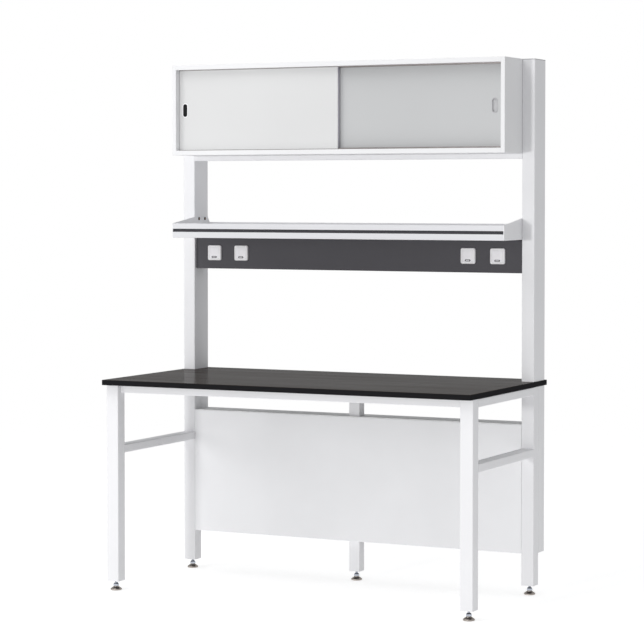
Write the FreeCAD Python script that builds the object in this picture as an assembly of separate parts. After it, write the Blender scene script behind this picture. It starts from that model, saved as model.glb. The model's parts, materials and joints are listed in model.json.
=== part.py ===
import FreeCAD, Part
import math
import os

from FreeCAD import Vector

# Lab bench with a reagent shelf, a power panel and a wall-high cupboard with sliding doors.
# Millimetres, +X to the right of a person at the bench, +Y to the back, +Z up.
# The origin lies on the floor, under the middle of the worktop.

# ---- worktop and overall size ----
worktop_width = 1500.0
worktop_depth = 750.0
worktop_height = 800.0        # floor to the working face
worktop_thickness = 20.0
worktop_edge = 1.5            # chamfer along the rim
overall_height = 2000.0       # floor to the tops of posts and cabinet
side_overhang = 3.0           # worktop past the frame, each side
front_overhang = 30.0
rear_overhang = 18.0

# ---- steel frame ----
leg_size = 50.0               # square legs, and the width of the posts above them
middle_leg_size = 45.0
leg_foot_gap = 36.0           # floor to the cut end of a leg
tube_wall = 2.0
tube_corner = 3.0             # outer corner radius of every tube, sharp inside
rail_height = 30.0            # rails under the worktop and between the legs
front_rail_depth = 30.0
mid_rail_underside = 520.0
leg_plug_height = 20.0
top_plate = 6.0               # plates welded in the tops of rear legs and chase sides
tab_size = 40.0               # fixing tabs under the worktop
tab_thickness = 3.0
tab_inset = 160.0             # from the end of a rail to the middle of its tab
screw_head_width = 10.0
screw_head_height = 4.0

# ---- levelling feet ----
foot_base_radius = 21.5
foot_rim = 3.0                # height of the upright rim of the bell
foot_neck_radius = 9.5
foot_base_height = 17.5
foot_nut_width = 16.0         # across flats
foot_nut_height = 7.0
foot_stem_radius = 5.0
foot_stem_length = 46.0       # above the hexagon
stem_clearance = 0.08         # radial, in the leg's threaded plug

# ---- service chase between the rear legs ----
chase_underside = 155.0
chase_top = 640.0
sheet = 2.0                   # thickness of folded steel sheet
bend_radius = 1.0             # inside a fold
panel_return = 15.0
notch_clearance = 1.0         # round the middle leg

# ---- upper posts ----
post_depth = 110.0
post_cap = 3.0
base_plate = 8.0
post_bolt_radius = 5.0
bolt_hole_clearance = 0.5
bolt_head_width = 17.0
bolt_head_height = 7.0

# ---- power panel ----
panel_height = 125.0
panel_setback = 13.0          # behind the front of the posts
duct_depth = 70.0

# ---- sockets ----
socket_size = 59.0
socket_corner = 7.0
socket_proud = 8.0            # in front of the panel
socket_bevel = 3.0            # slope round the front
socket_box = 51.0             # square box behind the panel
socket_box_depth = 38.0
cutout_clearance = 0.5
socket_pitch = 119.5
left_socket_inset = 85.5      # from the left post to the first socket
right_socket_inset = 101.0    # from the right post to the last socket
well_radius = 19.5            # round well that takes the plug
well_depth = 16.0
earth_clip_width = 6.0
earth_clip_depth = 2.5
pin_hole_radius = 2.5
pin_hole_spacing = 19.0
pin_hole_depth = 12.0
lid_size = 44.0
lid_thickness = 3.2
lid_corner = 3.0
lid_gap = 0.6                 # all round the lid in its rim
lid_back_gap = 0.4
lid_pin_radius = 1.1
lid_pin_length = 2.0
lid_pin_clearance = 0.08
lid_lip_width = 20.0          # finger lip near the lower edge
lid_lip_depth = 1.2
lid_lip_height = 4.0
lid_lip_rise = 3.5            # lower edge of the lid to the lip

# ---- reagent shelf ----
shelf_underside = 1328.0
shelf_projection = 179.0      # front lip before the front of the posts
shelf_rear_run = 9.0          # past the back of the posts
lip_height = 56.0
lip_thickness = 8.0
lip_edge = 1.5
groove_height = 12.0
groove_depth = 3.0
groove_above_bottom = 23.0
strip_sink = 0.6              # strip face behind the lip face
strip_rib = 0.8               # height of the two ribs along the strip
bracket_thickness = 3.0
bracket_rise = 24.0           # top of the bracket above the lip
bracket_flange = 22.0
bracket_slope_end = 16.0      # length of the slope behind the post
tray_rear_rise = 2.0          # rear edge above the front lip
tray_front_drop = 6.0         # front upstand below the top of the lip
shelf_bolt_spacing = 48.0
shelf_bolt_drop = 7.5         # below the top of the bracket
shelf_bolt_radius = 4.0
shelf_bolt_head_radius = 6.5
shelf_bolt_head_height = 4.0
shelf_bolt_length = 16.0

# ---- cabinet ----
cabinet_height = 350.0
cabinet_projection = 176.0    # front before the front of the posts
cabinet_depth = 280.0
side_panel = 16.0
deck_panel = 18.0
back_panel = 4.0
back_inset = 6.0
cabinet_rail_height = 20.0
cabinet_rail_depth = 40.0
cabinet_bolt_head_width = 10.0
cabinet_bolt_head_height = 4.0
cabinet_bolt_inset = 50.0     # from the decks to the bolts

# ---- sliding doors ----
door_recess = 28.0            # front door behind the front of the cabinet
door_thickness = 16.0
door_gap = 4.0                # between the two doors
door_overlap = 14.0
door_side_gap = 1.0
running_gap = 0.4             # door on its rail
track_side_gap = 0.5          # door in its channels
lift_out = 5.0                # height by which a door lifts out of its rail
track_base = 2.0
track_rib_width = 3.0
track_rib_height = 4.0
track_fin = 1.5
track_recess = 6.0            # depth of the upper track in the top deck
track_drop = 5.0              # upper track below the top deck
track_front_lift = 2.5        # front fin ends this far above the other two
rear_door_lift = 3.0          # rear door rides this much higher
pull_width = 25.0
pull_height = 57.0
pull_flange = 1.0             # proud of the door
pull_rim = 3.5                # width of the flange round the opening
pull_wall = 1.5
pull_depth = 6.0
left_pull_inset = 25.0        # from the outer edge of the door
right_pull_inset = 41.5       # further in, so that a hand clears the cabinet's side

# ---- planes that pieces share ----
half_width = worktop_width / 2
frame_out = half_width - side_overhang            # outer faces of legs and posts
frame_in = frame_out - leg_size                   # inner faces of legs and posts
frame_mid = frame_out - leg_size / 2
leg_front = -worktop_depth / 2 + front_overhang
leg_back = leg_front + leg_size
post_back = worktop_depth / 2 - rear_overhang
post_front = post_back - post_depth
rear_leg_back = post_front + leg_size
under_worktop = worktop_height - worktop_thickness
rail_underside = under_worktop - rail_height
foot_centres = {
    "left_front_foot": (-frame_mid, leg_front + leg_size / 2),
    "right_front_foot": (frame_mid, leg_front + leg_size / 2),
    "left_rear_foot": (-frame_mid, post_front + leg_size / 2),
    "right_rear_foot": (frame_mid, post_front + leg_size / 2),
}
middle_leg_front = post_front + panel_return
middle_leg_mid = middle_leg_front + middle_leg_size / 2
foot_centres["middle_rear_foot"] = (0.0, middle_leg_mid)
panel_front = post_front + panel_setback
shelf_front = post_front - shelf_projection
shelf_back = post_back + shelf_rear_run
lip_top = shelf_underside + lip_height
shelf_floor = shelf_underside + bracket_thickness
cabinet_front = post_front - cabinet_projection
cabinet_back = cabinet_front + cabinet_depth
cabinet_underside = overall_height - cabinet_height
opening_half = frame_in - side_panel              # half the clear width in the cabinet
opening_low = cabinet_underside + deck_panel
opening_high = overall_height - deck_panel
front_door_face = cabinet_front + door_recess
rear_door_face = front_door_face + door_thickness + door_gap
post_bolt_places = [post_front + leg_size / 2, (rear_leg_back + post_back) / 2]
socket_centres = [
    -frame_in + left_socket_inset,
    -frame_in + left_socket_inset + socket_pitch,
    frame_in - right_socket_inset - socket_pitch,
    frame_in - right_socket_inset,
]
socket_mid = shelf_underside - panel_height / 2
socket_face = panel_front - socket_proud

X = Vector(1, 0, 0)
Y = Vector(0, 1, 0)
Z = Vector(0, 0, 1)


# ---- building blocks ----
def slab(x, y, z):
    # a plain block between three pairs of planes
    size = [high - low for low, high in (x, y, z)]
    return Part.makeBox(size[0], size[1], size[2], Vector(x[0], y[0], z[0]))


def peg(radius, start, direction, length):
    return Part.makeCylinder(radius, length, start, direction)


def corner_arc(corner, before, after, radius):
    # tangent points and arc that round a corner between two unit directions
    turn = math.acos(max(-1.0, min(1.0, before.dot(after))))
    reach = radius * math.tan(turn / 2)
    start = corner - before * reach
    end = corner + after * reach
    inward = (after - before).normalize()
    centre = corner + inward * (radius / math.cos(turn / 2))
    return start, centre - inward * radius, end


def rounded_path(points, radii, closed):
    # edges along points, each corner rounded by its own radius
    count = len(points)
    legs = [(points[(i + 1) % count] - points[i]).normalize() for i in range(count)]
    edges = []
    corners = {}
    for i in range(0 if closed else 1, count if closed else count - 1):
        if radii[i] > 0:
            corners[i] = corner_arc(points[i], legs[i - 1], legs[i], radii[i])
    for i in range(count if closed else count - 1):
        after = (i + 1) % count
        start = corners[i][2] if i in corners else points[i]
        end = corners[after][0] if after in corners else points[after]
        if start.distanceToPoint(end) > 1e-6:
            edges.append(Part.LineSegment(start, end).toShape())
        if after in corners:
            edges.append(Part.Arc(*corners[after]).toShape())
    return edges


def rounded_rectangle(centre, across, up, width, height, radius):
    a = across * (width / 2)
    b = up * (height / 2)
    points = [centre - a - b, centre + a - b, centre + a + b, centre - a + b]
    return Part.Wire(rounded_path(points, [radius] * 4, True))


def rounded_bar(start, end, across, up, width, height, radius):
    outline = rounded_rectangle(start, across, up, width, height, radius)
    return Part.Face(outline).extrude(end - start)


def tube(start, end, across, up, width, height):
    outer = rounded_bar(start, end, across, up, width, height, tube_corner)
    inner_width = width - 2 * tube_wall
    inner_height = height - 2 * tube_wall
    return outer.cut(rounded_bar(start, end, across, up, inner_width, inner_height, 0))


def tube_filler(x, y, low, high, width, depth):
    # a block that fills the inside of an upright tube of the given outer size
    inner_width = width - 2 * tube_wall
    inner_depth = depth - 2 * tube_wall
    return rounded_bar(Vector(x, y, low), Vector(x, y, high), X, Y, inner_width, inner_depth, 0)


def folded_sheet(points, thickness, run):
    # a sheet that follows a path of flat stretches, with its thickness on the path's left
    # as seen against the run direction, and a radius at each fold
    count = len(points)
    normal = Vector(run).normalize()
    legs = [(points[i + 1] - points[i]).normalize() for i in range(count - 1)]
    sides = [normal.cross(leg) for leg in legs]
    far = [points[0] + sides[0] * thickness]
    near_radii = [0.0]
    far_radii = [0.0]
    for i in range(1, count - 1):
        joint = sides[i - 1] + sides[i]
        far.append(points[i] + joint * (thickness / (1 + sides[i - 1].dot(sides[i]))))
        towards = sides[i - 1].dot(legs[i]) > 0
        near_radii.append(bend_radius + thickness if towards else bend_radius)
        far_radii.append(bend_radius if towards else bend_radius + thickness)
    far.append(points[-1] + sides[-1] * thickness)
    near_radii.append(0.0)
    far_radii.append(0.0)
    edges = rounded_path(points, near_radii, False)
    edges += [Part.LineSegment(points[-1], far[-1]).toShape()]
    edges += rounded_path(far[::-1], far_radii[::-1], False)
    edges += [Part.LineSegment(far[0], points[0]).toShape()]
    return Part.Face(Part.Wire(edges)).extrude(run)


def hexagon(width, start, direction, height):
    # a six-sided prism, measured across its flats
    side = Y if abs(direction.dot(X)) > 0.5 else X
    other = direction.cross(side)
    radius = width / math.sqrt(3)
    turns = [math.radians(60 * i + 30) for i in range(6)]
    points = [start + side * (radius * math.cos(t)) + other * (radius * math.sin(t)) for t in turns]
    return Part.Face(Part.makePolygon(points + points[:1])).extrude(direction * height)


def fused(shapes):
    whole = shapes[0]
    for shape in shapes[1:]:
        whole = whole.fuse(shape)
    return whole.removeSplitter()


def group(shapes):
    return Part.makeCompound(shapes)


def mirrored(shape):
    return shape.mirror(Vector(0, 0, 0), X)


# ---- worktop ----
def worktop():
    board = slab(
        (-half_width, half_width),
        (-worktop_depth / 2, worktop_depth / 2),
        (under_worktop, worktop_height),
    )
    board = board.makeChamfer(worktop_edge, board.Edges)
    holes = []
    for side in (-1, 1):
        for y in post_bolt_places:
            start = Vector(side * frame_mid, y, under_worktop)
            holes.append(peg(post_bolt_radius + bolt_hole_clearance, start, Z, worktop_thickness))
    return board.cut(group(holes))


# ---- frame ----
def upright_tube(x, y, low, high, width, depth):
    return tube(Vector(x, y, low), Vector(x, y, high), X, Y, width, depth)


def top_plate_in(x, y, width, depth):
    # closing plate inside the top of a tube, with the hole for a post bolt
    low = under_worktop - top_plate
    plate = tube_filler(x, y, low, under_worktop, width, depth)
    return plate.cut(peg(post_bolt_radius, Vector(x, y, low), Z, top_plate))


def front_leg(side):
    y = leg_front + leg_size / 2
    return upright_tube(side * frame_mid, y, leg_foot_gap, under_worktop, leg_size, leg_size)


def rear_leg(side):
    x = side * frame_mid
    y = post_bolt_places[0]
    leg = upright_tube(x, y, leg_foot_gap, under_worktop, leg_size, leg_size)
    return fused([leg, top_plate_in(x, y, leg_size, leg_size)])


def middle_rear_leg():
    return upright_tube(
        0, middle_leg_mid, leg_foot_gap, rail_underside, middle_leg_size, middle_leg_size
    )


def side_rail(side, underside):
    z = underside + rail_height / 2
    start = Vector(side * frame_mid, leg_back, z)
    end = Vector(side * frame_mid, post_front, z)
    return tube(start, end, X, Z, leg_size, rail_height)


def cross_tube(y, z, depth, height):
    # a rail that runs from side to side, between legs or posts
    return tube(Vector(-frame_in, y, z), Vector(frame_in, y, z), Y, Z, depth, height)


def front_top_rail():
    y = leg_back - front_rail_depth / 2
    return cross_tube(y, rail_underside + rail_height / 2, front_rail_depth, rail_height)


def rear_top_rail():
    z = rail_underside + rail_height / 2
    return cross_tube(middle_leg_mid, z, middle_leg_size, rail_height)


def leg_plugs():
    plugs = []
    for name, (x, y) in foot_centres.items():
        size = middle_leg_size if name == "middle_rear_foot" else leg_size
        plug = tube_filler(x, y, leg_foot_gap, leg_foot_gap + leg_plug_height, size, size)
        hole_radius = foot_stem_radius + stem_clearance
        plugs.append(plug.cut(peg(hole_radius, Vector(x, y, leg_foot_gap), Z, leg_plug_height)))
    return group(plugs)


def tab_places():
    # middles of the fixing tabs: along the front rail, and along each side rail
    places = []
    for side in (-1, 1):
        places.append((side * (frame_in - tab_inset), leg_back + tab_size / 2))
        for y in (leg_back + tab_inset, post_front - tab_inset):
            places.append((side * (frame_in - tab_size / 2), y))
    return places


def worktop_tabs():
    tabs = []
    for x, y in tab_places():
        low = Vector(x, y, under_worktop - tab_thickness)
        tabs.append(rounded_bar(low, low + Z * tab_thickness, X, Y, tab_size, tab_size, 0))
    return group(tabs)


def worktop_screws():
    # hexagonal heads under the tabs
    low = under_worktop - tab_thickness - screw_head_height
    heads = [hexagon(screw_head_width, Vector(x, y, low), Z, screw_head_height) for x, y in tab_places()]
    return group(heads)


# ---- levelling feet ----
def levelling_foot(x, y):
    # turned bell, with a hexagon on top and a threaded stem
    profile = [
        (0, 0),
        (foot_base_radius, 0),
        (foot_base_radius, foot_rim),
        (foot_neck_radius, foot_base_height),
        (0, foot_base_height),
    ]
    points = [Vector(x + radius, y, z) for radius, z in profile]
    outline = Part.makePolygon(points + points[:1])
    bell = Part.Face(outline).revolve(Vector(x, y, 0), Z, 360)
    nut = hexagon(foot_nut_width, Vector(x, y, foot_base_height), Z, foot_nut_height)
    stem_start = Vector(x, y, foot_base_height + foot_nut_height)
    stem = peg(foot_stem_radius, stem_start, Z, foot_stem_length)
    return group([bell, fused([nut, stem])])


# ---- service chase ----
def chase_side(side):
    x = side * frame_mid
    y = post_bolt_places[1]
    depth = post_back - rear_leg_back
    shaft = upright_tube(x, y, chase_underside, under_worktop, leg_size, depth)
    return fused([shaft, top_plate_in(x, y, leg_size, depth)])


def chase_panel(face, inward):
    # a face with a return along its upper and its lower edge
    back = face + inward * panel_return
    high = chase_top - sheet
    points = [
        Vector(-frame_in, back, high),
        Vector(-frame_in, face, high),
        Vector(-frame_in, face, chase_underside),
        Vector(-frame_in, back, chase_underside),
    ]
    if inward < 0:
        points.reverse()
    return folded_sheet(points, sheet, X * (2 * frame_in))


def chase_top_cover():
    cover = slab((-frame_in, frame_in), (post_front, post_back), (chase_top - sheet, chase_top))
    reach = middle_leg_size / 2 + notch_clearance
    notch = slab(
        (-reach, reach),
        (middle_leg_mid - reach, middle_leg_mid + reach),
        (chase_top - sheet, chase_top),
    )
    return cover.cut(notch)


# ---- upper posts ----
def post(side):
    x = side * frame_mid
    y = (post_front + post_back) / 2
    return upright_tube(x, y, worktop_height, overall_height - post_cap, leg_size, post_depth)


def post_caps():
    caps = []
    for side in (-1, 1):
        x = side * frame_mid
        y = (post_front + post_back) / 2
        low = Vector(x, y, overall_height - post_cap)
        caps.append(rounded_bar(low, low + Z * post_cap, X, Y, leg_size, post_depth, tube_corner))
    return group(caps)


def post_base_plates():
    plates = []
    for side in (-1, 1):
        x = side * frame_mid
        y = (post_front + post_back) / 2
        high = worktop_height + base_plate
        plate = tube_filler(x, y, worktop_height, high, leg_size, post_depth)
        for place in post_bolt_places:
            plate = plate.cut(peg(post_bolt_radius, Vector(x, place, worktop_height), Z, base_plate))
        plates.append(plate)
    return group(plates)


def post_bolts():
    # each bolt goes down through base plate, worktop and frame, with its nut below
    bolts = []
    head_seat = worktop_height + base_plate
    nut_seat = under_worktop - top_plate
    for side in (-1, 1):
        for y in post_bolt_places:
            x = side * frame_mid
            head = hexagon(bolt_head_width, Vector(x, y, head_seat), Z, bolt_head_height)
            low = Vector(x, y, nut_seat - bolt_head_height)
            shank = peg(post_bolt_radius, low, Z, head_seat - low.z)
            nut = hexagon(bolt_head_width, low, Z, bolt_head_height)
            bolts.append(fused([head, shank, nut]))
    return group(bolts)


# ---- power panel ----
def socket_cutouts():
    size = socket_box + 2 * cutout_clearance
    holes = []
    for x in socket_centres:
        front = Vector(x, panel_front, socket_mid)
        holes.append(rounded_bar(front, front + Y * sheet, X, Z, size, size, 0))
    return group(holes)


def power_panel():
    # front, top and bottom of the duct in one folded sheet
    low = shelf_underside - panel_height
    back = panel_front + duct_depth
    points = [
        Vector(-frame_in, back, shelf_underside),
        Vector(-frame_in, panel_front, shelf_underside),
        Vector(-frame_in, panel_front, low),
        Vector(-frame_in, back, low),
    ]
    channel = folded_sheet(points, sheet, X * (2 * frame_in))
    return channel.cut(socket_cutouts())


def power_panel_cover():
    # closes the back of the duct, with returns that tuck inside it
    high = shelf_underside - sheet
    low = shelf_underside - panel_height + sheet
    back = panel_front + duct_depth
    front = back - panel_return
    points = [
        Vector(-frame_in, front, low),
        Vector(-frame_in, back, low),
        Vector(-frame_in, back, high),
        Vector(-frame_in, front, high),
    ]
    return folded_sheet(points, sheet, X * (2 * frame_in))


# ---- sockets ----
lid_axis_y = socket_face + lid_back_gap + lid_thickness / 2
lid_axis_z = socket_mid + lid_size / 2 - lid_thickness / 2


def socket(x):
    face = rounded_bar(
        Vector(x, panel_front, socket_mid),
        Vector(x, socket_face, socket_mid),
        X,
        Z,
        socket_size,
        socket_size,
        socket_corner,
    )
    rim = [e for e in face.Edges if e.BoundBox.YMax < socket_face + 1e-3]
    face = face.makeChamfer(socket_bevel, rim)
    box_start = Vector(x, panel_front, socket_mid)
    box_end = box_start + Y * socket_box_depth
    body = fused([face, rounded_bar(box_start, box_end, X, Z, socket_box, socket_box, 0)])
    seat = lid_size + 2 * lid_gap
    seat_depth = lid_thickness + 2 * lid_back_gap
    bed = rounded_bar(
        Vector(x, socket_face, socket_mid),
        Vector(x, socket_face + seat_depth, socket_mid),
        X,
        Z,
        seat,
        seat,
        0,
    )
    floor = socket_face + seat_depth
    well = peg(well_radius, Vector(x, floor, socket_mid), Y, well_depth)
    cuts = [bed, well]
    for side in (-1, 1):
        hole = Vector(x + side * pin_hole_spacing / 2, floor + well_depth, socket_mid)
        cuts.append(peg(pin_hole_radius, hole, Y, pin_hole_depth))
        ear = Vector(x + side * (lid_size / 2), lid_axis_y, lid_axis_z)
        reach = lid_pin_length + lid_gap + lid_back_gap
        cuts.append(peg(lid_pin_radius + lid_pin_clearance, ear, X * side, reach))
    body = body.cut(group(cuts))
    clips = []
    for side in (-1, 1):
        far = socket_mid + side * well_radius
        near = far - side * earth_clip_depth
        clips.append(
            slab(
                (x - earth_clip_width / 2, x + earth_clip_width / 2),
                (floor + well_depth / 3, floor + well_depth),
                (min(near, far + side), max(near, far + side)),
            )
        )
    return fused([body] + clips)


def socket_lid(x):
    # flat lid with a barrel along its upper edge and a pin at each end of the barrel
    low = socket_mid - lid_size / 2
    middle = (low + lid_axis_z) / 2
    front = Vector(x, lid_axis_y - lid_thickness / 2, middle)
    back = front + Y * lid_thickness
    plate = rounded_bar(front, back, X, Z, lid_size, lid_axis_z - low, lid_corner)
    square = slab(
        (x - lid_size / 2, x + lid_size / 2),
        (front.y, back.y),
        (lid_axis_z - lid_corner, lid_axis_z),
    )
    barrel_start = Vector(x - lid_size / 2, lid_axis_y, lid_axis_z)
    barrel = peg(lid_thickness / 2, barrel_start, X, lid_size)
    pin_start = barrel_start - X * lid_pin_length
    pins = peg(lid_pin_radius, pin_start, X, lid_size + 2 * lid_pin_length)
    lip = slab(
        (x - lid_lip_width / 2, x + lid_lip_width / 2),
        (front.y - lid_lip_depth, front.y),
        (low + lid_lip_rise, low + lid_lip_rise + lid_lip_height),
    )
    return fused([plate, square, barrel, pins, lip])


# ---- reagent shelf ----
def shelf_lip():
    # extruded front lip with a groove for the strip
    low = shelf_underside
    groove_low = low + groove_above_bottom
    groove_high = groove_low + groove_height
    front = shelf_front
    back = shelf_front + lip_thickness
    inset = front + groove_depth
    profile = [
        (front, low, lip_edge),
        (front, groove_low, lip_edge / 3),
        (inset, groove_low, 0),
        (inset, groove_high, 0),
        (front, groove_high, lip_edge / 3),
        (front, lip_top, lip_edge),
        (back, lip_top, lip_edge),
        (back, low, lip_edge / 3),
    ]
    start = -frame_in + bracket_thickness
    points = [Vector(start, y, z) for y, z, _ in profile]
    radii = [radius for _, _, radius in profile]
    outline = Part.Wire(rounded_path(points, radii, True))
    return Part.Face(outline).extrude(X * (2 * (frame_in - bracket_thickness)))


def shelf_strip():
    # strip in the groove, with a rib along each edge
    low = shelf_underside + groove_above_bottom
    high = low + groove_height
    face = shelf_front + strip_sink
    valley = face + strip_rib
    back = shelf_front + groove_depth
    rib = groove_height / 4
    profile = [
        (face, low), (face, low + rib), (valley, low + rib * 1.3),
        (valley, high - rib * 1.3), (face, high - rib), (face, high), (back, high), (back, low),
    ]
    start = -frame_in + bracket_thickness
    points = [Vector(start, y, z) for y, z in profile]
    outline = Part.makePolygon(points + points[:1])
    return Part.Face(outline).extrude(X * (2 * (frame_in - bracket_thickness)))


def shelf_tray():
    # pan behind the lip: low upstand in front, tall one at the back
    start = -frame_in + bracket_thickness
    front = shelf_front + lip_thickness
    points = [
        Vector(start, front, lip_top - tray_front_drop),
        Vector(start, front, shelf_floor),
        Vector(start, shelf_back, shelf_floor),
        Vector(start, shelf_back, lip_top + tray_rear_rise),
    ]
    return folded_sheet(points, sheet, X * (2 * (frame_in - bracket_thickness)))


def shelf_bolt_places():
    mid = (post_front + post_back) / 2
    z = lip_top + bracket_rise - shelf_bolt_drop
    return [(mid + side * shelf_bolt_spacing / 2, z) for side in (-1, 1)]


def right_shelf_bracket():
    # end plate that closes the shelf, with a flange under the tray
    high = lip_top + bracket_rise
    outer = frame_in
    profile = [
        (shelf_front, shelf_underside),
        (shelf_back, shelf_underside),
        (shelf_back, lip_top + tray_rear_rise),
        (shelf_back - bracket_slope_end, high),
        (post_front, high),
        (shelf_front, lip_top),
    ]
    points = [Vector(outer, y, z) for y, z in profile]
    plate = Part.Face(Part.makePolygon(points + points[:1])).extrude(X * -bracket_thickness)
    flange = slab(
        (outer - bracket_flange, outer - bracket_thickness),
        (shelf_front + lip_thickness, shelf_back),
        (shelf_underside, shelf_floor),
    )
    whole = fused([plate, flange])
    bend = [
        e
        for e in whole.Edges
        if e.BoundBox.XMin > outer - 1e-3 and e.BoundBox.ZMax < shelf_underside + 1e-3
    ]
    whole = whole.makeFillet(bend_radius + bracket_thickness, bend)
    for y, z in shelf_bolt_places():
        hole = Vector(outer - bracket_thickness, y, z)
        whole = whole.cut(peg(shelf_bolt_radius, hole, X, bracket_thickness))
    return whole


def shelf_bolts():
    bolts = []
    for y, z in shelf_bolt_places():
        seat = Vector(frame_in - bracket_thickness, y, z)
        head = peg(shelf_bolt_head_radius, seat, -X, shelf_bolt_head_height)
        bolt = fused([head, peg(shelf_bolt_radius, seat, X, shelf_bolt_length)])
        bolts += [bolt, mirrored(bolt)]
    return group(bolts)


def bored_post(side):
    # the post with holes for the shelf's bolts in its inner wall
    shaft = post(side)
    for y, z in shelf_bolt_places():
        start = Vector(side * frame_in, y, z)
        shaft = shaft.cut(peg(shelf_bolt_radius, start, X * side, tube_wall))
    return shaft


# ---- cabinet ----
track_width = 2 * track_fin + 2 * (door_thickness + 2 * track_side_gap) + (
    door_gap - 2 * track_side_gap
)
track_front = front_door_face - track_side_gap - track_fin


def cabinet_bolt_places():
    y = (post_front + post_back) / 2
    heights = (opening_low + cabinet_bolt_inset, opening_high - cabinet_bolt_inset)
    return [(y, z) for z in heights]


def cabinet_top():
    deck = slab(
        (-opening_half, opening_half), (cabinet_front, cabinet_back), (opening_high, overall_height)
    )
    slot = slab(
        (-opening_half, opening_half),
        (track_front, track_front + track_width),
        (opening_high, opening_high + track_recess),
    )
    return deck.cut(slot)


def cabinet_bottom():
    return slab(
        (-opening_half, opening_half),
        (cabinet_front, cabinet_back),
        (cabinet_underside, opening_low),
    )


def cabinet_side(side):
    faces = sorted((side * opening_half, side * frame_in))
    return slab(faces, (cabinet_front, cabinet_back), (cabinet_underside, overall_height))


def cabinet_back_board():
    return slab(
        (-opening_half, opening_half),
        (cabinet_back - back_inset - back_panel, cabinet_back - back_inset),
        (opening_low, opening_high),
    )


def cabinet_bolts():
    # hexagonal heads on the inner faces of the sides
    bolts = []
    for y, z in cabinet_bolt_places():
        seat = Vector(opening_half, y, z)
        head = hexagon(cabinet_bolt_head_width, seat, -X, cabinet_bolt_head_height)
        bolts += [head, mirrored(head)]
    return group(bolts)


def upper_door_track():
    # three fins hang from a base and make a channel for each door
    high = opening_high + track_recess
    base = high - track_fin
    low = opening_high - track_drop
    channel = door_thickness + 2 * track_side_gap
    middle_fin = door_gap - 2 * track_side_gap
    block = slab(
        (-opening_half, opening_half), (track_front, track_front + track_width), (low, high)
    )
    first = track_front + track_fin
    second = first + channel + middle_fin
    for start in (first, second):
        groove = slab((-opening_half, opening_half), (start, start + channel), (low, base))
        block = block.cut(groove)
    front_fin = slab((-opening_half, opening_half), (track_front, first), (low, low + track_front_lift))
    return block.cut(front_fin)


def lower_door_track():
    # flat strip with a rib under the middle of each door, the rear one taller
    strip = slab(
        (-opening_half, opening_half),
        (track_front, track_front + track_width),
        (opening_low, opening_low + track_base),
    )
    ribs = []
    rib_low = opening_low + track_base
    for face, lift in ((front_door_face, 0.0), (rear_door_face, rear_door_lift)):
        mid = face + door_thickness / 2
        ribs.append(
            slab(
                (-opening_half, opening_half),
                (mid - track_rib_width / 2, mid + track_rib_width / 2),
                (rib_low, rib_low + track_rib_height + lift),
            )
        )
    return fused([strip] + ribs)


# ---- sliding doors ----
door_low = opening_low + track_base + running_gap
door_high = opening_high + track_recess - track_fin - lift_out
door_far = opening_half - door_side_gap
pull_mid = (opening_low + opening_high) / 2


def obround(x, y, z, width, height, depth):
    # upright slot shape, from its front face backwards
    start = Vector(x, y, z)
    return rounded_bar(start, start + Y * depth, X, Z, width, height, width / 2 - 0.01)


def pull_cup(face, x):
    # the part of a pull that is let into the door
    trim = 2 * (pull_rim - pull_wall)
    return obround(x, face, pull_mid, pull_width - trim, pull_height - trim, pull_depth)


def sliding_door(side, face, pull_x, lift):
    # side is -1 for the left door; the door overlaps the middle by half the overlap
    spans = sorted((side * door_far, -side * door_overlap / 2))
    low = door_low + lift
    board = slab(spans, (face, face + door_thickness), (low, door_high))
    mid = face + door_thickness / 2
    half_groove = track_rib_width / 2 + track_side_gap
    groove = slab(spans, (mid - half_groove, mid + half_groove), (low, low + track_rib_height))
    return board.cut(groove).cut(pull_cup(face, pull_x))


def door_pull(face, x):
    # cup let into the door, with a flange on the door's face
    flange = obround(x, face - pull_flange, pull_mid, pull_width, pull_height, pull_flange)
    hollow = obround(
        x,
        face - pull_flange,
        pull_mid,
        pull_width - 2 * pull_rim,
        pull_height - 2 * pull_rim,
        pull_flange + pull_depth - pull_wall,
    )
    return fused([flange, pull_cup(face, x)]).cut(hollow)


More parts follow.
